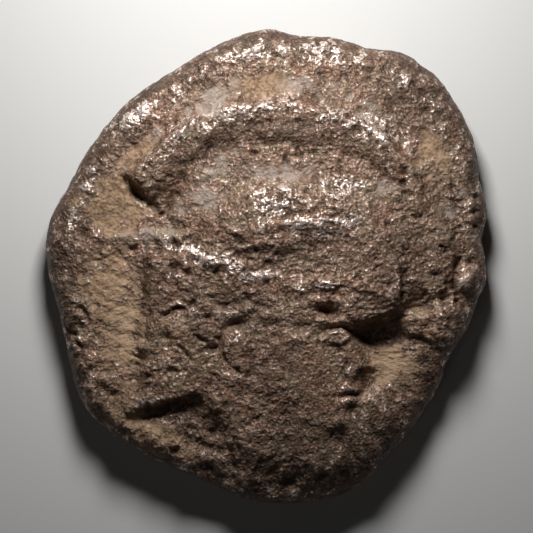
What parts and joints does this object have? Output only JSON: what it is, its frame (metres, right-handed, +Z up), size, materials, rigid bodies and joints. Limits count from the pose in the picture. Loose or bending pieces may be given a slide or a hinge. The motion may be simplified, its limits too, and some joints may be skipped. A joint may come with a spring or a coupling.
{
  "type": "ancient silver fractional coin",
  "caption": "Small thick hammered silver coin with a worn crested-helmet head in relief on one face and a square punch in four quarters on the other.",
  "frame": {"origin": "under the middle of the flan, on the surface that the coin lies on", "axes": "+Z up, out of the struck head; +Y towards the top of the head and its crest; +X the way the head faces"},
  "size_m": [0.009, 0.0096, 0.0017],
  "materials": {
    "toned_silver": "old silver toned dark brown-grey, rough and pitted, bright on worn high points, with tan and pale grey deposit in the hollows"
  },
  "bodies": {
    "root": {"silver_coin": "toned_silver"}
  },
  "joints": []
}
